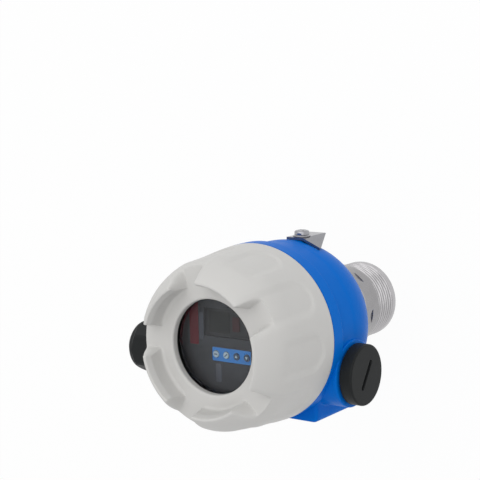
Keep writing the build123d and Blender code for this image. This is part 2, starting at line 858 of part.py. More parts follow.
with BuildPart() as terminal_block:
    with BuildSketch(Plane.XY.offset(board_top)):
        with Locations((0, -terminal_offset)):
            Rectangle(terminal_count * terminal_pitch, terminal_depth)
    extrude(amount=terminal_height)
    with BuildSketch(Plane.XY.offset(board_top + terminal_height)):
        with Locations((0, -terminal_offset)):
            with GridLocations(terminal_pitch, 0, terminal_count, 1):
                Circle(terminal_screw_diameter / 2 + press_gap)
    extrude(amount=-terminal_screw_height, mode=Mode.SUBTRACT)
    with BuildSketch(Plane.XZ.offset(terminal_offset + terminal_depth / 2)):
        with Locations((0, board_top + wire_port_rise)):
            with GridLocations(terminal_pitch, 0, terminal_count, 1):
                Rectangle(wire_port_width, wire_port_height)
    extrude(amount=-wire_port_depth, mode=Mode.SUBTRACT)
write(terminal_block.part, "terminal_block")

with BuildPart() as terminal_screws:
    with BuildSketch(Plane.XY.offset(board_top + terminal_height - terminal_screw_height)):
        with Locations((0, -terminal_offset)):
            with GridLocations(terminal_pitch, 0, terminal_count, 1):
                Circle(terminal_screw_diameter / 2)
    extrude(amount=terminal_screw_height - terminal_screw_sink)
write(terminal_screws.part, "terminal_screws")

with BuildPart() as insert_screws:
    with BuildSketch(Plane.XY.offset(plate_top)):
        with PolarLocations(ledge_middle, pillar_count, start_angle=pillar_angle):
            Circle(fixing_head_diameter / 2 - press_gap)
    extrude(amount=fixing_head_height)
    with BuildSketch(Plane.XY.offset(plate_top)):
        with PolarLocations(ledge_middle, pillar_count, start_angle=pillar_angle):
            Circle(fixing_screw_diameter / 2)
    extrude(amount=-insert_plate_thickness)
write(insert_screws.part, "insert_screws")

# Display: board, moulded bezel, glass panel, keypad strip and its keys
with BuildPart() as display_board:
    with BuildSketch(Plane.XY.offset(display_board_level)):
        Circle(display_radius - display_board_inset)
    extrude(amount=board_thickness)
write(display_board.part, "display_board")

strip_level = display_face - strip_thickness
lcd_level = display_face - lcd_recess - lcd_thickness
key_middle = (key_count - 1) * key_pitch / 2
with BuildPart() as display_bezel:
    with BuildSketch(Plane.XY.offset(display_base)):
        Circle(display_radius)
    extrude(amount=display_height)
    fillet(display_bezel.edges().group_by(Axis.Z)[-1], display_wall / 2)
    with BuildSketch(Plane.XY.offset(display_base)):
        Circle(display_radius - display_wall)
    extrude(amount=display_height - lcd_recess - lcd_thickness - display_wall, mode=Mode.SUBTRACT)
    with BuildSketch(Plane.XY.offset(display_face)):
        with Locations((0, lcd_center_y)):
            Rectangle(lcd_width, lcd_height)
    extrude(amount=-lcd_recess - lcd_thickness, mode=Mode.SUBTRACT)
    with BuildSketch(Plane.XY.offset(display_face)):
        with Locations((strip_center_x, strip_center_y)):
            RectangleRounded(strip_width, strip_height, strip_thickness / 2)
    extrude(amount=-strip_thickness, mode=Mode.SUBTRACT)
    with BuildSketch(Plane.XY.offset(strip_level)):
        with Locations((strip_center_x, strip_center_y)):
            with GridLocations(key_pitch, 0, key_count, 1):
                Circle(key_diameter / 2 + key_lip + turn_gap)
    extrude(amount=key_foot - key_travel - turn_gap - strip_level, mode=Mode.SUBTRACT)
write(display_bezel.part, "display_bezel")

with BuildPart() as lcd_panel:
    with BuildSketch(Plane.XY.offset(lcd_level)):
        with Locations((0, lcd_center_y)):
            Rectangle(lcd_width - press_gap * 2, lcd_height - press_gap * 2)
    extrude(amount=lcd_thickness)
write(lcd_panel.part, "lcd_panel")

with BuildPart() as keypad_strip:
    with BuildSketch(Plane.XY.offset(strip_level)):
        with Locations((strip_center_x, strip_center_y)):
            RectangleRounded(strip_width - press_gap * 2, strip_height - press_gap * 2, strip_thickness / 2)
            with GridLocations(key_pitch, 0, key_count, 1):
                Circle(key_diameter / 2 + turn_gap, mode=Mode.SUBTRACT)
    extrude(amount=strip_thickness)
write(keypad_strip.part, "keypad_strip")

for index in range(key_count):
    key_x = strip_center_x - key_middle + index * key_pitch
    with BuildPart() as key:
        with BuildSketch(Plane.XY.offset(key_foot)):
            with Locations((key_x, strip_center_y)):
                Circle(key_diameter / 2)
        extrude(amount=key_length)
        chamfer(key.edges().group_by(Axis.Z)[-1], key_chamfer)
        with BuildSketch(Plane.XY.offset(key_foot)):
            with Locations((key_x, strip_center_y)):
                Circle(key_diameter / 2 + key_lip)
        extrude(amount=key_lip_height)
    write(key.part, f"key_{index + 1}")
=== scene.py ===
import math

import bmesh
import bpy
from mathutils import Matrix, Vector


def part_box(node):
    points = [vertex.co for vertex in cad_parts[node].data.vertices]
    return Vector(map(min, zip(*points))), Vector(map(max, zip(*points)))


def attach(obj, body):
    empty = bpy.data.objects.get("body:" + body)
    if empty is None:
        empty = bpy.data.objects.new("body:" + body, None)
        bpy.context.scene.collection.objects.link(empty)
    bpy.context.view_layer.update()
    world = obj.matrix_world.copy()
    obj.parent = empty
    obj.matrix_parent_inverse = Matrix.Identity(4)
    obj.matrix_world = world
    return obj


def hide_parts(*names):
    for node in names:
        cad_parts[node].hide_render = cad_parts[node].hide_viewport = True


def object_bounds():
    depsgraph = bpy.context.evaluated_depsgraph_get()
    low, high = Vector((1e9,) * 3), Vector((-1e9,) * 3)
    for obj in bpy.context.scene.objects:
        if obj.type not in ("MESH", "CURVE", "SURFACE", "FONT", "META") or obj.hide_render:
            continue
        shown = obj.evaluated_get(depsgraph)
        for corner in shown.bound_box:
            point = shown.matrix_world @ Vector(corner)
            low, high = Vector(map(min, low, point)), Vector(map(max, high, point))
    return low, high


# An ultrasonic level sensor in its part's own frame, in metres. Profiles are in millimetres.
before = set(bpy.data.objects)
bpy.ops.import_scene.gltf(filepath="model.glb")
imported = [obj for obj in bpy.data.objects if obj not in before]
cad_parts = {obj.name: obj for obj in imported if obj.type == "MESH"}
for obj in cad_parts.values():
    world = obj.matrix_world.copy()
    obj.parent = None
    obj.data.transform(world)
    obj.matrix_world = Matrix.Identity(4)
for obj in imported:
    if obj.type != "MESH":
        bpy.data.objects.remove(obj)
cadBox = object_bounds()
mm = 0.001


# Shapes

def smooth(share):
    share = min(max(share, 0), 1)
    return share * share * (3 - 2 * share)


# A polyline of (across, along, corner radius) points, with its corners rounded
def rounded(points, closed=True, steps=6):
    path = []
    last = len(points) - 1
    for index, (across, along, radius) in enumerate(points):
        here = Vector((across, along))
        if radius == 0 or (not closed and index in (0, last)):
            path.append(here)
            continue
        before, after = points[index - 1], points[(index + 1) % len(points)]
        back, ahead = Vector(before[:2]) - here, Vector(after[:2]) - here
        half = back.angle(ahead) / 2
        room = min(back.length / (2 if before[2] else 1), ahead.length / (2 if after[2] else 1))
        trim = min(radius / math.tan(half), room)
        back.normalize()
        ahead.normalize()
        centre = here + (back + ahead).normalized() * trim / math.cos(half)
        start, end = here + back * trim - centre, here + ahead * trim - centre
        first = math.atan2(start.y, start.x)
        turn = (math.atan2(end.y, end.x) - first + math.pi) % math.tau - math.pi
        for step in range(steps + 1):
            angle = first + turn * step / steps
            path.append(centre + Vector((math.cos(angle), math.sin(angle))) * start.length)
    return path


# The same path with no stretch longer than the gap
def spaced(path, gap, closed=True):
    dense = []
    ends = path[1:] + path[:1] if closed else path[1:]
    for here, there in zip(path, ends):
        count = max(1, math.ceil((there - here).length / gap))
        dense.extend(here.lerp(there, step / count) for step in range(count))
    return dense if closed else dense + [path[-1]]


# Points from one angle to another, in degrees
def arc(centre, radius, start, end, steps):
    angles = [math.radians(start + (end - start) * step / steps) for step in range(steps + 1)]
    return [Vector((centre[0] + radius * math.cos(angle), centre[1] + radius * math.sin(angle)))
            for angle in angles]


# Half section of a plain round bar, for turned
def bar(radius, low, high):
    return [Vector((0, low)), Vector((radius, low)), Vector((radius, high)), Vector((0, high))]


def linked(name, data):
    thing = bpy.data.objects.new(name, data)
    bpy.context.scene.collection.objects.link(thing)
    return thing


def meshObject(name, vertices, faces):
    mesh = bpy.data.meshes.new(name)
    mesh.from_pydata(vertices, [], faces)
    work = bmesh.new()
    work.from_mesh(mesh)
    bmesh.ops.recalc_face_normals(work, faces=work.faces)
    work.to_mesh(mesh)
    work.free()
    return linked(name, mesh)


# The path turned round an axis; shape may move a point: (angle, radius, height) to (radius, height)
def turned(name, path, columns, place=Matrix(), closed=True, shape=None):
    vertices, faces, rows = [], [], []
    for point in path:
        count = 1 if point.x < 1e-4 else columns
        rows.append((len(vertices), count))
        for column in range(count):
            angle = math.tau * column / columns
            radius, height = shape(angle, point.x, point.y) if shape else point
            spot = Vector((radius * math.cos(angle), radius * math.sin(angle), height))
            vertices.append(place @ spot * mm)
    pairs = list(zip(rows, rows[1:] + rows[:1] if closed else rows[1:]))
    for (low, lowCount), (high, highCount) in pairs:
        for column in range(columns):
            after = (column + 1) % columns
            if lowCount == highCount == 1:
                break
            if lowCount == 1:
                faces.append((low, high + after, high + column))
            elif highCount == 1:
                faces.append((low + column, low + after, high))
            else:
                faces.append((low + column, low + after, high + after, high + column))
    return meshObject(name, vertices, faces)


# A flat outline pushed through a depth: the outline lies in the place's own plane
def slab(name, outline, low, high, place=Matrix()):
    count = len(outline)
    vertices = [place @ Vector((*point[:2], level)) * mm for level in (low, high) for point in outline]
    faces = [tuple(range(count)), tuple(range(count, 2 * count))]
    for index in range(count):
        after = (index + 1) % count
        faces.append((index, after, count + after, count + index))
    return meshObject(name, vertices, faces)


def boxOutline(left, right, low, high, corner):
    return rounded([(left, low, corner), (right, low, corner), (right, high, corner), (left, high, corner)])


# The modifiers' result becomes the mesh itself
def settle(piece):
    bpy.context.view_layer.update()
    result = bpy.data.meshes.new_from_object(piece.evaluated_get(bpy.context.evaluated_depsgraph_get()))
    piece.modifiers.clear()
    piece.data = result
    return piece


def join(name, parts):
    work = bmesh.new()
    for part in parts:
        work.from_mesh(part.data)
        bpy.data.objects.remove(part)
    mesh = bpy.data.meshes.new(name)
    work.to_mesh(mesh)
    work.free()
    return linked(name, mesh)


def cut(piece, cutters):
    for cutter in cutters:
        modifier = piece.modifiers.new("cut", "BOOLEAN")
        modifier.operation = "DIFFERENCE"
        modifier.solver = "MANIFOLD"
        modifier.object = cutter
        settle(piece)
        bpy.data.objects.remove(cutter)
    return piece


def dress(piece, look, body, nodes=(), crease=35):
    piece.data.materials.clear()
    piece.data.materials.append(looks[look])
    piece.data.shade_smooth()
    piece.data.set_sharp_from_angle(angle=math.radians(crease))
    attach(piece, body)
    if nodes:
        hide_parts(*nodes)
    return piece


# Lowest and highest corner of a CAD node, in millimetres
def span(node):
    low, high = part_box(node)
    return low / mm, high / mm


# Looks

# Painted shade by reach from the z axis: the colour is dark at a thread's root, full at its crest and near
# its foot, and in between on the collar above it
paintedThreadShade = {
    "root": 28.3, "crest": 29.4, "collar": 30.6, "foot": 3.6, "paintedRootShade": 0.16, "paintedCollarShade": 0.68,
}


def paintedGrooveShade(nodes, links, groove):
    coords = nodes.new("ShaderNodeTexCoord")
    flat = nodes.new("ShaderNodeVectorMath")
    flat.operation = "MULTIPLY"
    flat.inputs[1].default_value = (1, 1, 0)
    reach = nodes.new("ShaderNodeVectorMath")
    reach.operation = "LENGTH"
    parts = nodes.new("ShaderNodeSeparateXYZ")
    outer, foot = nodes.new("ShaderNodeMapRange"), nodes.new("ShaderNodeMapRange")
    outer.inputs["From Min"].default_value = groove["root"] * mm
    outer.inputs["From Max"].default_value = groove["collar"] * mm
    paintedShades = nodes.new("ShaderNodeValToRGB")
    crest = (groove["crest"] - groove["root"]) / (groove["collar"] - groove["root"])
    stops = paintedShades.color_ramp.elements
    # Painted shade at the thread's root, a lighter painted shade on the collar, and white where the colour
    # stays as it is
    stops[0].color = (groove["paintedRootShade"],) * 3 + (1,)
    stops[1].color = (groove["paintedCollarShade"],) * 3 + (1,)
    for position in (crest, (crest + 1) / 2):
        stops.new(position).color = (1, 1, 1, 1)
    foot.inputs["From Min"].default_value = groove["foot"] * mm
    foot.inputs["From Max"].default_value = 0.5 * groove["foot"] * mm
    higher = nodes.new("ShaderNodeMath")
    higher.operation = "MAXIMUM"
    links.new(coords.outputs["Object"], flat.inputs[0])
    links.new(flat.outputs[0], reach.inputs[0])
    links.new(reach.outputs["Value"], outer.inputs["Value"])
    links.new(coords.outputs["Object"], parts.inputs[0])
    links.new(parts.outputs["Z"], foot.inputs["Value"])
    links.new(outer.outputs["Result"], paintedShades.inputs[0])
    links.new(paintedShades.outputs["Color"], higher.inputs[0])
    links.new(foot.outputs["Result"], higher.inputs[1])
    return higher.outputs[0]


# Two colours in broad mottles, a fine grain for roughness and relief, and the shader's own settings in more
def surface(name, colour, other, rough, metal=0.0, coat=0.0, mottle=60.0, grain=900.0,
            bump=0.1, depth=0.05, stretch=(1, 1, 1), groove=None, **more):
    material = bpy.data.materials.new(name)
    material.use_nodes = True
    nodes, links = material.node_tree.nodes, material.node_tree.links
    shader = nodes["Principled BSDF"]
    shader.inputs["Metallic"].default_value = metal
    shader.inputs["Coat Weight"].default_value = coat
    for key, value in more.items():
        shader.inputs[key.replace("_", " ")].default_value = value
    place = nodes.new("ShaderNodeTexCoord")
    broad = nodes.new("ShaderNodeTexNoise")
    broad.inputs["Scale"].default_value = mottle
    broad.inputs["Detail"].default_value = 3
    links.new(place.outputs["Object"], broad.inputs["Vector"])
    tint = nodes.new("ShaderNodeMix")
    tint.data_type = "RGBA"
    tint.inputs[6].default_value = (*colour, 1)  # inputs 6 and 7 are a colour mix's A and B
    tint.inputs[7].default_value = (*other, 1)
    links.new(broad.outputs["Fac"], tint.inputs[0])
    final = tint
    # With a groove, the colour is multiplied by a painted shade: darker at the thread's roots and on the
    # collar
    if groove:
        final = nodes.new("ShaderNodeMix")
        final.data_type = "RGBA"
        final.blend_type = "MULTIPLY"
        final.inputs[0].default_value = 1
        links.new(tint.outputs[2], final.inputs[6])
        links.new(paintedGrooveShade(nodes, links, groove), final.inputs[7])
    links.new(final.outputs[2], shader.inputs["Base Color"])
    lay = nodes.new("ShaderNodeMapping")
    lay.inputs["Scale"].default_value = stretch
    fine = nodes.new("ShaderNodeTexNoise")
    fine.inputs["Scale"].default_value = grain
    fine.inputs["Detail"].default_value = 4
    links.new(place.outputs["Object"], lay.inputs["Vector"])
    links.new(lay.outputs["Vector"], fine.inputs["Vector"])
    gloss = nodes.new("ShaderNodeMapRange")
    gloss.inputs["To Min"].default_value = rough[0]
    gloss.inputs["To Max"].default_value = rough[1]
    links.new(fine.outputs["Fac"], gloss.inputs["Value"])
    links.new(gloss.outputs["Result"], shader.inputs["Roughness"])
    relief = nodes.new("ShaderNodeBump")
    relief.inputs["Strength"].default_value = bump
    relief.inputs["Distance"].default_value = depth * mm
    links.new(fine.outputs["Fac"], relief.inputs["Height"])
    links.new(relief.outputs["Normal"], shader.inputs["Normal"])
    return material


looks = {
    "cover_paint": surface("coverPaint", (0.585, 0.578, 0.56), (0.55, 0.545, 0.53), (0.42, 0.54),
                           mottle=25, grain=700, bump=0.1, depth=0.06, Specular_IOR_Level=0.3),
    "housing_paint": surface("housingPaint", (0.0005, 0.147, 0.60), (0.0005, 0.132, 0.55), (0.3, 0.42),
                             mottle=25, grain=700, bump=0.1, depth=0.06, Specular_IOR_Level=0.04),
    "stainless_steel": surface("stainlessSteel", (0.25, 0.252, 0.275), (0.20, 0.202, 0.22), (0.14, 0.26),
                               metal=1.0, mottle=90, grain=4000, bump=0.03, depth=0.01,
                               stretch=(0.02, 0.02, 1)),
    # The threaded steel carries painted shade at its thread's roots and on its collar
    "threaded_steel": surface("threadedSteel", (0.54, 0.53, 0.54), (0.41, 0.40, 0.41), (0.2, 0.3),
                              metal=1.0, mottle=90, grain=4000, bump=0.03, depth=0.01,
                              stretch=(0.02, 0.02, 1), groove=paintedThreadShade),
    "bright_screw": surface("brightScrew", (0.37, 0.37, 0.39), (0.30, 0.30, 0.32), (0.14, 0.26),
                            metal=1.0, mottle=300, grain=3000, bump=0.1, depth=0.02),
    "black_plastic": surface("blackPlastic", (0.010, 0.0115, 0.012), (0.014, 0.0155, 0.016), (0.42, 0.58),
                             mottle=120, grain=2600, bump=0.2, depth=0.04, Specular_IOR_Level=0.14),
    "seal_rubber": surface("sealRubber", (0.012, 0.012, 0.013), (0.02, 0.02, 0.02), (0.6, 0.8),
                           mottle=200, grain=2000, bump=0.2, depth=0.05),
    "clear_glass": surface("clearGlass", (0.95, 0.97, 0.97), (0.93, 0.96, 0.96), (0.0, 0.02),
                           mottle=15, grain=60, bump=0.01, depth=0.01, Transmission_Weight=1.0, IOR=1.25),
    "module_plastic": surface("modulePlastic", (0.036, 0.037, 0.044), (0.05, 0.05, 0.06), (0.42, 0.6),
                              mottle=50, grain=2200, bump=0.2, depth=0.04, Specular_IOR_Level=0.25),
    "keypad_blue": surface("keypadBlue", (0.003, 0.15, 0.51), (0.008, 0.18, 0.54), (0.25, 0.35),
                           coat=0.1, mottle=200, grain=1500, bump=0.08, depth=0.03),
    "key_pale": surface("keyPale", (0.40, 0.50, 0.57), (0.34, 0.44, 0.52), (0.2, 0.35),
                        coat=0.1, mottle=600, grain=1500, bump=0.1, depth=0.03),
    "key_dark": surface("keyDark", (0.02, 0.045, 0.10), (0.03, 0.06, 0.12), (0.2, 0.35),
                        coat=0.3, mottle=600, grain=1500, bump=0.1, depth=0.03),
    "lcd_glass": surface("lcdGlass", (0.020, 0.020, 0.024), (0.026, 0.025, 0.03), (0.12, 0.2),
                         mottle=80, grain=800, bump=0.02, depth=0.02, Specular_IOR_Level=0.2),
    "segment_glass": surface("segmentGlass", (0.008, 0.008, 0.009), (0.011, 0.011, 0.012), (0.12, 0.2),
                             mottle=80, grain=800, bump=0.02, depth=0.02, Specular_IOR_Level=0.2),
    "circuit_board": surface("circuitBoard", (0.008, 0.10, 0.045), (0.012, 0.14, 0.06), (0.25, 0.4),
                             mottle=500, grain=1800, bump=0.2, depth=0.05),
    "terminal_green": surface("terminalGreen", (0.03, 0.24, 0.09), (0.04, 0.28, 0.11), (0.4, 0.55),
                              mottle=200, grain=2200, bump=0.2, depth=0.05),
    "plate_aluminium": surface("plateAluminium", (0.66, 0.67, 0.69), (0.60, 0.61, 0.63), (0.24, 0.42),
                               metal=1.0, mottle=60, grain=2600, bump=0.2, depth=0.02, stretch=(0.01, 1, 1)),
    "sensor_face": surface("sensorFace", (0.10, 0.10, 0.105), (0.13, 0.13, 0.135), (0.45, 0.6),
                           mottle=150, grain=2200, bump=0.25, depth=0.05),
    "piezo_ceramic": surface("piezoCeramic", (0.68, 0.64, 0.50), (0.62, 0.58, 0.46), (0.3, 0.45),
                             mottle=300, grain=2500, bump=0.2, depth=0.04),
    "lamp_red": surface("lampRed", (0.035, 0.006, 0.009), (0.045, 0.008, 0.012), (0.12, 0.2),
                        mottle=120, grain=900, bump=0.03, depth=0.02, Specular_IOR_Level=0.2),
    "bar_red": surface("barRed", (0.11, 0.010, 0.018), (0.17, 0.014, 0.026), (0.25, 0.35),
                       mottle=80, grain=900, bump=0.05, depth=0.02, Specular_IOR_Level=0.2),
    "strip_grey": surface("stripGrey", (0.06, 0.065, 0.085), (0.07, 0.075, 0.10), (0.3, 0.4),
                          mottle=150, grain=1500, bump=0.1, depth=0.03),
    "potting": surface("potting", (0.06, 0.045, 0.038), (0.08, 0.06, 0.05), (0.35, 0.5),
                       mottle=150, grain=1200, bump=0.2, depth=0.08),
}
print("looks made")


# Cover: leaning side, round shoulder, a ring of five lugs round the window, and ten shallow flutes

coverLow, coverHigh = span("cover")
glassLow, glassHigh = span("window_glass")
coverForm = {
    "base": coverLow.z, "foot": coverHigh.x, "footEdge": 0.5, "crest": coverHigh.z,
    "lean": 186.7, "middle": 61.8,  # height and radius where the side ends and the shoulder starts
    "round": 49.4, "wall": 4.5,
    "crestOuter": 47.2, "crestEdge": 1.0, "crestInner": 45.8, "crestRound": 1.4,
    "lipInner": 44.0, "lipDrop": 4.5, "lipRound": 6.0, "wallFoot": 43.2, "footRound": 2.4,
    "bezel": coverHigh.z - 16.3, "window": 33.1, "windowRound": 1.7, "web": 5.2,
    "bore": 58.8, "boreTop": coverLow.z + 16, "sealTop": coverLow.z + 2.7, "sealOuter": 61.4,
    "seat": glassHigh.x + 0.1, "seatOuter": glassHigh.x + 5.1, "ringBase": glassLow.z - 3.0,
    "notches": 5, "notchAngle": 32.3, "notchHalf": 9.5, "notchSoft": 4.2,
    "flutes": 10, "fluteHalf": 12.0, "fluteDepth": 1.3, "fluteFoot": 11.5, "fluteSoft": 6.5,
    "footSoft": 2.2, "crestFade": 4.0,
    "fadeStart": 196.0, "fadeEnd": 206.0,  # heights between which the flutes in line with the lugs end
    "skin": 1.5, "sideGap": 1.0, "crestGap": 1.2, "columns": 600,
}


def coverPath(f):
    reach = f["middle"] - f["round"]
    top = math.degrees(math.asin((f["crest"] - f["lean"]) / f["round"]))
    inner = f["round"] - f["wall"]
    under = f["bezel"] - f["web"]
    ceiling = math.degrees(math.asin((under - f["lean"]) / inner))
    side = rounded([(f["bore"] + 3, f["base"], 0), (f["foot"], f["base"], f["footEdge"]),
                    (f["middle"], f["lean"], 0)], closed=False)
    side = side[:-3] + spaced(side[-2:], f["sideGap"], closed=False)[1:-1]
    shoulder = arc((reach, f["lean"]), f["round"], 1.2, top - 1.2, 34)
    crest = rounded([
        (*shoulder[-1], 0), (f["crestOuter"], f["crest"], f["crestEdge"]),
        (f["crestInner"], f["crest"], f["crestRound"]),
        (f["lipInner"], f["crest"] - f["lipDrop"], f["lipRound"]),
        (f["wallFoot"], f["bezel"], f["footRound"]), (f["window"], f["bezel"], f["windowRound"]),
        (f["window"], under, 0.3), (f["seat"], under, 0.2), (f["seat"], f["ringBase"], 0.4),
        (f["seatOuter"], f["ringBase"], 0.8), (f["seatOuter"], under, 1.2)], closed=False, steps=5)
    inside = arc((reach, f["lean"]), inner, ceiling, 0, 12)
    mouth = [(reach + inner, f["boreTop"]), (f["bore"], f["boreTop"]), (f["bore"], f["sealTop"]),
             (f["sealOuter"], f["sealTop"]), (f["sealOuter"], f["base"])]
    return (side + shoulder + spaced(crest, f["crestGap"], closed=False)[1:] + inside
            + [Vector(corner) for corner in mouth])


def coverShape(f):
    reach = f["middle"] - f["round"]
    flutePitch, notchPitch = 360 / f["flutes"], 360 / f["notches"]

    def shape(angle, radius, height):
        above = height >= f["lean"]
        middle = Vector((radius - reach, height - f["lean"]))
        outer = middle.length > f["round"] - f["skin"] if above else radius > f["middle"] - f["skin"]
        turn = math.degrees(angle) - f["notchAngle"]
        if outer:
            step = (turn + flutePitch / 2) % flutePitch - flutePitch / 2
            across = abs(radius * math.sin(math.radians(step)))
            below = max(f["base"] + f["fluteFoot"] + f["fluteHalf"] - height, 0)
            off = math.hypot(across, below)
            soft = f["fluteSoft"] + (f["footSoft"] - f["fluteSoft"]) * (below / max(off, 0.1)) ** 2
            deep = f["fluteDepth"] * smooth((f["fluteHalf"] + soft / 2 - off) / soft)
            deep *= smooth((f["crest"] - height) / f["crestFade"])
            if round((turn - step) / flutePitch) % 2:
                deep *= 1 - smooth((height - f["fadeStart"]) / (f["fadeEnd"] - f["fadeStart"]))
            out = middle.normalized() if above else Vector((1, 0))
            radius -= out.x * deep
            height -= out.y * deep
        if height > f["bezel"]:
            step = (turn + notchPitch / 2) % notchPitch - notchPitch / 2
            across = abs(radius * math.sin(math.radians(step)))
            keep = smooth((across - f["notchHalf"] + f["notchSoft"] / 2) / f["notchSoft"])
            height = f["bezel"] + (height - f["bezel"]) * keep
        return radius, height

    return shape


cover = turned("coverShell", coverPath(coverForm), coverForm["columns"], shape=coverShape(coverForm))
dress(cover, "cover_paint", "cover", ["cover"], crease=40)
print("cover made")


# Process connection: pipe thread, a collar with six shallow scallops, and the screw into the housing

neckHigh = span("process_neck")[1]
neckForm = {
    "radius": 29.8, "length": 29.5, "chamfer": 1.0, "relief": 1.8, "undercut": 1.3, "runOut": 0.7,
    "pitch": 3.28, "depth": 1.7, "plain": 3.2, "threadGap": 0.23,
    "sharp": 1.12,  # over 1, it leaves the root of the thread a little flat
    "collar": neckHigh.x, "footEdge": 1.0, "topEdge": 0.8, "ledge": 39.8, "ledgeStep": 0.02,
    "scallops": 6, "scallopHalf": 5.6, "scallopDeep": 0.9, "scallopStart": 21.5,
    "skirt": 49.4, "skirtFoot": 46.5, "skirtInner": 27.5, "collarTop": 39.0, "screw": 20.0,
    "top": neckHigh.z, "pocket": 25.0, "roof": 21.0, "channel": 5.0, "columns": 384,
}


def neckShape(f):
    outside = (f["pocket"] + f["radius"]) / 2
    spacing = 360 / f["scallops"]

    def shape(angle, radius, height):
        if radius > outside and f["plain"] < height < f["length"] - f["relief"]:
            turn = height / f["pitch"] - angle / math.tau
            groove = min(max(f["sharp"] - 2 * f["sharp"] * abs(turn % 1 - 0.5), 0), 1)
            depth = f["depth"] * smooth((height - f["plain"]) / f["pitch"])
            radius = min(radius, f["radius"] - depth * groove)
        elif radius > f["radius"] and height > f["ledge"]:
            side = (math.degrees(angle) - f["scallopStart"]) % spacing - spacing / 2
            aside = f["collar"] * math.sin(math.radians(side)) / f["scallopHalf"]
            radius -= f["scallopDeep"] * max(1 - aside ** 2, 0)
        return radius, height

    return shape


def neckPath(f):
    low = rounded([(f["channel"], f["roof"], 0), (f["pocket"], f["roof"], 0.5), (f["pocket"], 0, 0.4),
                   (f["radius"] - f["chamfer"], 0, 0)], closed=False)
    threadTop = f["length"] - f["relief"]
    thread = spaced([Vector((f["radius"] - f["chamfer"], 0)), Vector((f["radius"], f["chamfer"])),
                     Vector((f["radius"], threadTop))], f["threadGap"], closed=False)
    high = rounded([
        (f["radius"] - f["undercut"], threadTop + f["runOut"], 0),
        (f["radius"] - f["undercut"], f["length"], 0.4), (f["collar"] - f["footEdge"], f["length"], 0.2),
        (f["collar"], f["length"] + 0.8, 0.4), (f["collar"], f["ledge"] - f["ledgeStep"], 0),
        (f["collar"], f["ledge"] + f["ledgeStep"], 0), (f["collar"], f["skirt"] - f["topEdge"], 0.4),
        (f["collar"] - f["topEdge"], f["skirt"], 0.2), (f["skirtInner"], f["skirtFoot"], 0.4),
        (f["skirtInner"], f["collarTop"], 0.4), (f["screw"], f["collarTop"], 0.4),
        (f["screw"], f["top"], 0.8), (f["channel"], f["top"], 0)], closed=False, steps=4)
    return low[:-1] + thread + spaced(high, 2.5, closed=False)


neck = turned("threadedNeck", neckPath(neckForm), neckForm["columns"], shape=neckShape(neckForm))
dress(neck, "threaded_steel", "housing", ["process_neck"], crease=50)
print("neck made")


# Housing: one cast body with its bosses, plate block, ear and ground pad melted together, and crisp
# turned rims

housingLow, housingHigh = span("housing")
bodyForm = {
    "base": housingLow.z, "boss": 27.0, "bossTop": 46.0, "belly": 61.8, "bowl": 98.0, "bowlRound": 48.0,
    "step": 117.0, "body": 61.4, "flange": 64.5, "flangeBase": 138.5, "flangeLap": 2.0,
    "rim": 150.0, "neck": 58.5, "top": housingHigh.z,
    "threadPitch": 2.0, "threadDepth": 0.9, "threadStart": 3.0, "threadEnd": 0.9,
    "cavity": 56.0, "cavityTop": 160.0, "cone": 88.0, "ledge": 101.0, "ledgeInner": 50.0,
    "floor": 59.1, "floorRadius": 28.4, "socket": 20.1, "socketDeep": 14.1, "channel": 5.0,
    "entryY": -28.0, "entryZ": 122.4, "entry": 24.2, "entryEdge": 1.4, "lipDeep": 6.0, "lipStep": 3.0,
    "bore": 16.0, "boreEnd": 20.0, "plugReach": 63.0, "glandReach": 92.0,
    "beyond": 5.0, "voxel": 1.0, "melt": 14,
}
blockForm = {"half": 41.925, "back": -63.5, "front": -35.0, "low": 85.0, "high": 139.0, "round": 3.0}
earForm = {"x": 17.0, "z": 77.0, "half": 11.0, "root": 93.0, "back": -62.5, "front": -57.5, "hole": 2.5}
padForm = {"left": 0.3, "right": 11.8, "low": 86.0, "high": 108.0, "root": 47.5, "face": 61.8, "round": 1.0}
entries = ((1, bodyForm["plugReach"]), (-1, bodyForm["glandReach"]))


# An entry's own frame: z points out of the housing's side
def entryPlace(side, reach):
    return Matrix((
        (0, 0, side, side * reach), (side, 0, 0, bodyForm["entryY"]), (0, 1, 0, bodyForm["entryZ"]),
        (0, 0, 0, 1)))


# A frame whose x and y lie along the part's x and z, and whose z lies along the part's y
def frontPlace(x, y, z):
    return Matrix(((1, 0, 0, x), (0, 0, 1, y), (0, 1, 0, z), (0, 0, 0, 1)))


def castParts(f, block, ear, pad):
    top = f["flangeBase"] + 4
    bowl = rounded([(0, f["base"], 0), (f["boss"], f["base"], 1.5), (f["boss"], f["bossTop"], 3.0),
                    (f["belly"], f["bowl"], f["bowlRound"]), (f["belly"], f["step"], 0),
                    (f["body"], f["step"] + 0.4, 0), (f["body"], top, 0), (0, top, 0)],
                   closed=False, steps=10)
    parts = [turned("bowl", spaced(bowl, 3.0, closed=False), 256, closed=False)]
    for side, reach in entries:
        boss = spaced(bar(f["entry"], -reach, -f["entryEdge"]), 3.0, closed=False)
        parts.append(turned("boss", boss, 128, entryPlace(side, reach), closed=False))
    front = frontPlace(0, 0, 0)
    blockOutline = boxOutline(-block["half"], block["half"], block["back"], block["front"], block["round"])
    parts.append(slab("block", blockOutline, block["low"], block["high"]))
    earOutline = arc((ear["x"], ear["z"]), ear["half"], 0, -180, 24)
    earOutline += [Vector((ear["x"] + side * ear["half"], ear["root"])) for side in (-1, 1)]
    parts.append(slab("ear", earOutline, ear["back"], ear["front"], front))
    padOutline = boxOutline(pad["left"], pad["right"], pad["low"], pad["high"], pad["round"])
    parts.append(slab("pad", padOutline, pad["root"], pad["face"], front))
    return parts


def melted(body, f):
    melt = body.modifiers.new("melt", "REMESH")
    melt.mode = "VOXEL"
    melt.voxel_size = f["voxel"] * mm
    soften = body.modifiers.new("soften", "SMOOTH")
    soften.factor = 0.5
    soften.iterations = f["melt"]
    return settle(body)


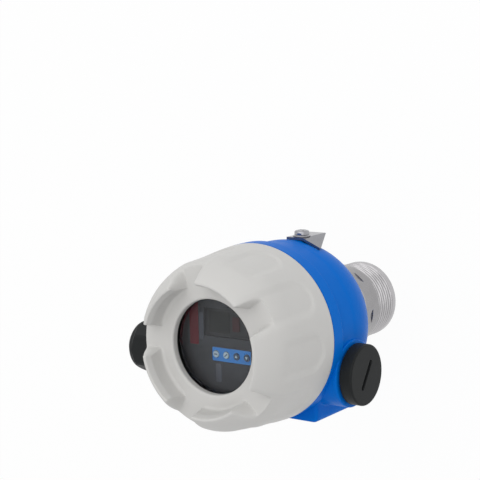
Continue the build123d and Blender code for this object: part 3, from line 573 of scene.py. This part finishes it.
def hollowed(body, f, ear):
    cavity = rounded([(0, f["floor"], 0), (f["floorRadius"], f["floor"], 3.0),
                      (f["ledgeInner"], f["cone"], 6.0), (f["ledgeInner"], f["ledge"], 0.4),
                      (f["cavity"], f["ledge"], 0.5),
                      (f["cavity"], f["cavityTop"], 0), (0, f["cavityTop"], 0)], closed=False)
    socket = bar(f["socket"], f["base"] - f["beyond"], f["base"] + f["socketDeep"])
    channel = bar(f["channel"], f["base"], f["floor"] + 2)
    cutters = [turned("cavity", cavity, 160, closed=False)]
    cutters += [turned("hole", hole, 96, closed=False) for hole in (socket, channel)]
    for side, reach in entries:
        bore = bar(f["bore"], f["boreEnd"] - reach, f["beyond"])
        cutters.append(turned("bore", bore, 96, entryPlace(side, reach), closed=False))
    earHole = arc((ear["x"], ear["z"]), ear["hole"], 0, 360, 32)[:-1]
    cutters.append(slab("earHole", earHole, ear["back"] - f["beyond"], ear["front"] + f["beyond"],
                        frontPlace(0, 0, 0)))
    return cut(body, cutters)


def rimShape(f):
    def shape(angle, radius, height):
        threaded = f["rim"] + f["threadStart"] < height < f["top"] - f["threadEnd"]
        if threaded and abs(radius - f["neck"]) < 0.1:
            turn = height / f["threadPitch"] - angle / math.tau
            radius -= f["threadDepth"] * (0.5 - 0.5 * math.cos(math.tau * turn))
        return radius, height

    return shape


def rims(f):
    root = f["flangeBase"] - f["flangeLap"]
    ring = rounded([(f["cavity"], root, 0), (f["body"] - 0.6, root, 0),
                    (f["body"] + 0.1, f["flangeBase"], 0.8),
                    (f["flange"], f["flangeBase"], 0.9), (f["flange"], f["rim"], 0.35),
                    (f["neck"], f["rim"], 0.3), (f["neck"], f["top"], 0.8), (f["cavity"], f["top"], 0.5)])
    parts = [turned("flange", spaced(ring, 0.5), 300, shape=rimShape(f))]
    lip = rounded([(f["bore"], -f["lipDeep"], 0), (f["entry"] - 0.3, -f["lipDeep"], 0),
                   (f["entry"], -f["lipStep"], 1.5), (f["entry"], 0, 0.9), (f["bore"], 0, 0.6)])
    for side, reach in entries:
        parts.append(turned("lip", spaced(lip, 2.0), 160, entryPlace(side, reach)))
    return join("castRims", parts)


castBody = melted(join("castBody", castParts(bodyForm, blockForm, earForm, padForm)), bodyForm)
housingShell = join("housingShell", [hollowed(castBody, bodyForm, earForm), rims(bodyForm)])
dress(housingShell, "housing_paint", "housing", ["housing"], crease=40)
print("housing made")


# Blanking plug with its coin slot

plugForm = {
    "radius": span("blanking_plug")[1].y - bodyForm["entryY"], "back": 1.2, "face": 10.4, "faceRound": 1.3,
    "shank": 15.7, "hollow": 12.2, "length": 12.0, "slotHalf": 11.4, "slotWide": 1.5, "slotDeep": 2.6,
    "slotSoft": 0.5, "slotAngle": -34.0, "skin": 0.9, "faceGap": 0.3, "columns": 300,
}


def plugShape(f):
    lean = math.radians(f["slotAngle"])

    def shape(angle, radius, height):
        if height > f["face"] - f["skin"] and radius < f["radius"] - f["skin"]:
            along = abs(radius * math.cos(angle - lean))
            across = abs(radius * math.sin(angle - lean))
            off = math.hypot(max(along - f["slotHalf"] + f["slotWide"], 0), across)
            height -= f["slotDeep"] * smooth((f["slotWide"] + f["slotSoft"] / 2 - off) / f["slotSoft"])
        return radius, height

    return shape


def plugPath(f):
    path = rounded([(f["hollow"], f["back"], 0), (f["hollow"], -f["length"], 0.4),
                    (f["shank"], -f["length"], 0.8), (f["shank"], f["back"], 0.3),
                    (f["radius"], f["back"], 0.5), (f["radius"], f["face"], f["faceRound"]),
                    (0, f["face"], 0)], closed=False)
    return path[:-1] + spaced(path[-2:], f["faceGap"], closed=False)[1:] + [Vector((0, f["back"]))]


plug = turned("coinPlug", plugPath(plugForm), plugForm["columns"], entryPlace(1, bodyForm["plugReach"]),
              shape=plugShape(plugForm))
dress(plug, "black_plastic", "blanking_plug", ["blanking_plug"], crease=50)
print("plug made")


# Cable gland: body with a hexagon, clamping insert, and domed nut; heights count from the boss's face

glandForm = {
    "bore": 9.0, "shank": 15.9, "shankEnd": -12.0, "hexBase": 1.5, "hexTop": 10.5, "hex": 22.5,
    "hexFlats": 21.5, "neck": 17.0, "neckTop": 26.5, "cup": 12.5, "cupFloor": 14.7, "columns": 240,
}
nutForm = {
    "inner": 17.4, "base": 11.7, "hex": 21.9, "hexFlats": 19.5, "hexTop": 30.6, "collar": 19.7,
    "collarTop": 32.7, "dome": 18.6, "domeBase": 36.4, "crown": 12.6, "top": 41.7, "hole": 8.5,
    "holeBase": 39.4, "coneBase": 28.5, "columns": 240,
}
insertForm = {
    "bore": 7.2, "outer": 12.1, "base": 15.0, "coneBase": 28.2, "tip": 8.5, "top": 38.9, "columns": 120,
}


def hexed(flats, phase, low, high):
    def shape(angle, radius, height):
        if low <= height <= high:
            side = (math.degrees(angle) - phase) % 60 - 30
            radius = min(radius, flats / math.cos(math.radians(side)))
        return radius, height

    return shape


def glandPath(f):
    return rounded([(f["bore"], f["shankEnd"], 0.5), (f["shank"], f["shankEnd"], 0.8),
                    (f["shank"], f["hexBase"], 0.3), (f["hex"] - 1.1, f["hexBase"], 0.3),
                    (f["hex"], f["hexBase"] + 0.6, 0.3), (f["hex"], f["hexTop"] - 0.8, 0.3),
                    (f["hex"] - 1.3, f["hexTop"], 0.4), (f["neck"], f["hexTop"], 0.4),
                    (f["neck"], f["neckTop"], 0.8), (f["cup"], f["neckTop"], 0.4),
                    (f["cup"], f["cupFloor"], 0.3), (f["bore"], f["cupFloor"], 0.3)])


def nutPath(f):
    return rounded([(f["inner"], f["base"], 0.3), (f["hex"] - 1.3, f["base"], 0.4),
                    (f["hex"], f["base"] + 1, 0.6), (f["hex"], f["hexTop"], 1.2),
                    (f["collar"], f["collarTop"], 2.0),
                    (f["dome"], f["domeBase"], 5.0), (f["crown"], f["top"], 3.5), (f["hole"], f["top"], 0.9),
                    (f["hole"], f["holeBase"], 0.2), (f["hole"] + 0.3, f["holeBase"], 0.2),
                    (f["inner"], f["coneBase"], 0.6)])


def insertPath(f):
    return rounded([(f["bore"], f["base"], 0.8), (f["outer"], f["base"], 0.6),
                    (f["outer"], f["coneBase"], 0.8), (f["tip"], f["top"], 0.5), (f["bore"], f["top"], 0.6)])


glandPlace = entryPlace(-1, bodyForm["glandReach"])
glandHex = hexed(glandForm["hexFlats"], 30, glandForm["hexBase"] - 0.1, glandForm["hexTop"] + 0.1)
glandBody = turned("glandBase", spaced(glandPath(glandForm), 2.0), glandForm["columns"], glandPlace,
                   shape=glandHex)
dress(glandBody, "black_plastic", "housing", ["gland_body"])
nutHex = hexed(nutForm["hexFlats"], 0, nutForm["base"] - 0.2, nutForm["domeBase"] + 1.1)
glandNut = turned("domedNut", spaced(nutPath(nutForm), 1.5), nutForm["columns"], glandPlace, shape=nutHex)
dress(glandNut, "black_plastic", "gland_nut", ["gland_nut"])
insert = turned("clampInsert", spaced(insertPath(insertForm), 2.0), insertForm["columns"], glandPlace)
dress(insert, "seal_rubber", "gland_insert", ["gland_insert"])
print("gland made")


# Ground terminal: a pan head with a cross recess on a domed washer; heights count from the head's seat

groundLow, groundHigh = span("ground_screw")
headTall = 3.4
screwForm = {
    "x": 7.5, "z": 101.0, "seat": groundHigh.y - headTall, "head": 5.5, "tall": headTall, "edge": 0.5,
    "crown": 3.3, "shank": 2.5, "length": groundHigh.y - groundLow.y - headTall,
    "turn": 0.6, "arm": 3.3, "armSoft": 1.6, "slot": 0.55, "slotSoft": 0.3, "deep": 1.8, "skin": 1.2,
    "faceGap": 0.15, "columns": 160,
}
washerForm = {"base": 63.6, "radius": 6.5, "edge": 0.7, "top": 5.6, "hole": 2.8, "columns": 96}
screwPlace = frontPlace(screwForm["x"], screwForm["seat"], screwForm["z"])


def crossed(f):
    def shape(angle, radius, height):
        if height > f["tall"] - f["skin"]:
            along = abs(radius * math.cos(angle - f["turn"]))
            aside = abs(radius * math.sin(angle - f["turn"]))
            deep = smooth((f["slot"] + f["slotSoft"] / 2 - min(along, aside)) / f["slotSoft"])
            height -= f["deep"] * deep * smooth((f["arm"] - radius) / f["armSoft"])
        return radius, height

    return shape


def headPath(f):
    path = rounded([(0, -f["length"], 0), (f["shank"], -f["length"], 0.6), (f["shank"], 0, 0.1),
                    (f["head"], 0, 0.3), (f["head"], f["tall"] - f["edge"], 1.6),
                    (f["crown"], f["tall"], 3.0), (0, f["tall"], 0)], closed=False)
    return path[:-1] + spaced(path[-2:], f["faceGap"], closed=False)[1:]


def washerPath(f, drop):
    return rounded([(f["hole"], drop, 0.2), (f["radius"], drop, 0.3), (f["radius"], drop + f["edge"], 0.35),
                    (f["top"], 0, 0.3), (f["hole"], 0, 0.2)])


panHead = turned("panHead", headPath(screwForm), screwForm["columns"], screwPlace, closed=False,
                 shape=crossed(screwForm))
dress(panHead, "bright_screw", "housing", ["ground_screw"], crease=40)
domedWasher = turned("domedWasher", washerPath(washerForm, washerForm["base"] - screwForm["seat"]),
                     washerForm["columns"], screwPlace)
dress(domedWasher, "bright_screw", "housing", ["ground_washer"])
print("ground terminal made")


# Display details: segment window and lamp lens on the panel; pale strip and red bar on the face, and a pale
# tab there that is a painted reflection

panelFace = span("lcd_panel")[1].z
bezelFace = span("display_bezel")[1].z
# Left, low, right and high edge; the level that it lies on; its thickness; its look
displayForm = {
    "segmentWindow": ((-17.2, 5.4, 0.2, 20.2), panelFace, 0.3, "segment_glass"),
    "lampLens": ((3.0, 7.4, 9.0, 17.6), panelFace, 0.45, "lamp_red"),
    "paleStrip": ((-25.2, -0.5, -21.6, 18.5), bezelFace, 0.25, "strip_grey"),
    "redBar": ((-33.4, -4.5, -25.9, 26.0), bezelFace, 0.35, "bar_red"),
    # A painted reflection: a pale tab where the window glass shows a pale wedge of reflected light
    "reflectionTab": ((-11.5, -29.5, -6.6, -16.5), bezelFace, 0.25, "strip_grey"),
}
tileCorner = 0.8
for name, ((left, low, right, high), level, thick, look) in displayForm.items():
    tile = slab(name, boxOutline(left, right, low, high, tileCorner), level, level + thick)
    dress(tile, look, "housing")

# Small plain marks, drawn round the middle of each key
keyMarks = {
    "key_1": ((-1.3, -0.35), (1.3, -0.35), (1.3, 0.35), (-1.3, 0.35)),
    "key_2": ((-1.4, -0.9), (-0.8, -1.3), (1.4, 0.7), (0.8, 1.2)),
    "key_3": ((-1.1, -0.8), (1.1, -0.8), (0, 1.2)),
    "key_4": ((-1.1, 0.8), (0, -1.2), (1.1, 0.8)),
}
markCorner, markThick = 0.15, 0.15
for name, outline in keyMarks.items():
    low, high = span(name)
    place = Matrix.Translation(((low.x + high.x) / 2, (low.y + high.y) / 2, high.z))
    corners = rounded([(*corner, markCorner) for corner in outline], steps=3)
    mark = slab(name + "_mark", corners, 0, markThick, place)
    dress(mark, "key_dark" if name in ("key_1", "key_2") else "key_pale", name)
print("display made")


# Carried-over solids keep their shape and get their looks, and the sharper ones get a small bevel

nodeLooks = {
    "seal_rubber": ["neck_gasket", "transducer_seal", "transducer_lead", "cover_seal", "glass_gasket",
                    "plug_gasket", "gland_gasket"],
    "sensor_face": ["transducer_cup"], "potting": ["matching_layer", "backing_block", "converter_module"],
    "piezo_ceramic": ["piezo_disc"], "clear_glass": ["window_glass"],
    "stainless_steel": ["glass_ring", "ground_bracket"],
    "bright_screw": ["lock_screw", "terminal_screws", "insert_screws"],
    "plate_aluminium": ["nameplate"], "module_plastic": ["insert_frame", "display_bezel"],
    "circuit_board": ["main_board", "display_board"], "terminal_green": ["terminal_block"],
    "lcd_glass": ["lcd_panel"], "keypad_blue": ["keypad_strip"], "key_pale": ["key_1", "key_2"],
    "key_dark": ["key_3", "key_4"],
}
bevels = {"ground_bracket": 0.25, "nameplate": 0.12, "display_bezel": 0.2, "keypad_strip": 0.15,
          "lock_screw": 0.12, "terminal_block": 0.2, "transducer_cup": 0.2}
bevelAngle = 40  # only edges that turn by more than this are bevelled
for look, names in nodeLooks.items():
    for name in names:
        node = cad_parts[name]
        if not node.material_slots:
            node.data.materials.append(looks[look])
        for place in node.material_slots:
            place.material = looks[look]
        if name in bevels:
            bevel = node.modifiers.new("bevel", "BEVEL")
            bevel.width = bevels[name] * mm
            bevel.segments = 2
            bevel.limit_method = "ANGLE"
            bevel.angle_limit = math.radians(bevelAngle)
print("nodes dressed")


# Camera at the photograph's angle

across = Vector((0.8137, -0.0245, -0.5806))
upward = Vector((-0.0623, 0.9895, -0.1285))
backward = Vector((0.5770, 0.1404, 0.8040))
eye = Vector((0.5207, 0.1957, 0.8934))
camera = linked("camera", bpy.data.cameras.new("camera"))
camera.data.lens = 97.5
camera.data.sensor_width = 36
camera.data.clip_start, camera.data.clip_end = 0.01, 20
camera.matrix_world = Matrix((
    (across.x, upward.x, backward.x, eye.x), (across.y, upward.y, backward.y, eye.y),
    (across.z, upward.z, backward.z, eye.z), (0, 0, 0, 1)))
bpy.context.scene.camera = camera


# Soft studio light, a pale floor, and a white surround that the camera, mirrors and glass see

stageForm = {
    "aim": Vector((0, 0, 0.12)), "roomStrength": 0.8, "roomDim": (0.76, 0.76, 0.77, 1), "dimBelow": 0.25,
    "fullAbove": 0.85, "floorHalf": 4.0, "floorColour": (0.86, 0.86, 0.86, 1), "floorGlow": 0.95,
}
white = (1, 1, 1, 1)


def lamp(name, direction, distance, size, power):
    light = bpy.data.lights.new(name, "AREA")
    light.shape = "DISK"
    light.size = size
    light.energy = power
    holder = linked(name, light)
    holder.location = stageForm["aim"] + direction.normalized() * distance
    holder.rotation_mode = "QUATERNION"
    holder.rotation_quaternion = direction.to_track_quat("Z", "Y")


lamp("key", upward * 0.7 + backward * 0.6 - across * 0.6, 1.3, 1.6, 4)
lamp("front", backward - across * 0.25, 1.6, 2.4, 8)


# One for rays that the camera, a mirror or a glass sends out
def seen(nodes, links):
    path = nodes.new("ShaderNodeLightPath")
    total = path.outputs["Is Camera Ray"]
    for kind in ("Is Glossy Ray", "Is Transmission Ray"):
        both = nodes.new("ShaderNodeMath")
        both.operation = "MAXIMUM"
        links.new(total, both.inputs[0])
        links.new(path.outputs[kind], both.inputs[1])
        total = both.outputs["Value"]
    return total


# The room gives a little less light from -y, which is below in the photograph
def studioSky(f):
    world = bpy.data.worlds.new("studio")
    bpy.context.scene.world = world
    world.use_nodes = True
    nodes, links = world.node_tree.nodes, world.node_tree.links
    nodes.clear()
    out = nodes.new("ShaderNodeOutputWorld")
    mix = nodes.new("ShaderNodeMixShader")
    surround = nodes.new("ShaderNodeBackground")
    surround.inputs["Strength"].default_value = 1.0
    surround.inputs["Color"].default_value = white
    room = nodes.new("ShaderNodeBackground")
    room.inputs["Strength"].default_value = f["roomStrength"]
    place = nodes.new("ShaderNodeTexCoord")
    split = nodes.new("ShaderNodeSeparateXYZ")
    ramp = nodes.new("ShaderNodeValToRGB")
    low, high = ramp.color_ramp.elements
    low.position, low.color = f["dimBelow"], f["roomDim"]
    high.position, high.color = f["fullAbove"], white
    shift = nodes.new("ShaderNodeMapRange")
    shift.inputs["From Min"].default_value = -1
    links.new(place.outputs["Generated"], split.inputs["Vector"])
    links.new(split.outputs["Y"], shift.inputs["Value"])
    links.new(shift.outputs["Result"], ramp.inputs["Fac"])
    links.new(ramp.outputs["Color"], room.inputs["Color"])
    links.new(seen(nodes, links), mix.inputs["Fac"])
    links.new(room.outputs["Background"], mix.inputs[1])
    links.new(surround.outputs["Background"], mix.inputs[2])
    links.new(mix.outputs["Shader"], out.inputs["Surface"])


def paleFloor(f):
    material = bpy.data.materials.new("paleFloor")
    material.use_nodes = True
    nodes, links = material.node_tree.nodes, material.node_tree.links
    nodes.clear()
    out = nodes.new("ShaderNodeOutputMaterial")
    matt = nodes.new("ShaderNodeBsdfDiffuse")
    matt.inputs["Color"].default_value = f["floorColour"]
    glow = nodes.new("ShaderNodeEmission")
    glow.inputs["Color"].default_value = white
    glow.inputs["Strength"].default_value = 1.0
    share = nodes.new("ShaderNodeMath")
    share.operation = "MULTIPLY"
    share.inputs[1].default_value = f["floorGlow"]
    mix = nodes.new("ShaderNodeMixShader")
    links.new(seen(nodes, links), share.inputs[0])
    links.new(share.outputs["Value"], mix.inputs["Fac"])
    links.new(matt.outputs["BSDF"], mix.inputs[1])
    links.new(glow.outputs["Emission"], mix.inputs[2])
    links.new(mix.outputs["Shader"], out.inputs["Surface"])
    half = f["floorHalf"]
    floor = meshObject("floor", [(-half, -half, 0), (half, -half, 0), (half, half, 0), (-half, half, 0)],
                       [(0, 1, 2, 3)])
    floor.location.z = cadBox[0].z
    floor.data.materials.append(material)


studioSky(stageForm)
paleFloor(stageForm)
bpy.context.scene.view_settings.view_transform = "Standard"
print("stage set")
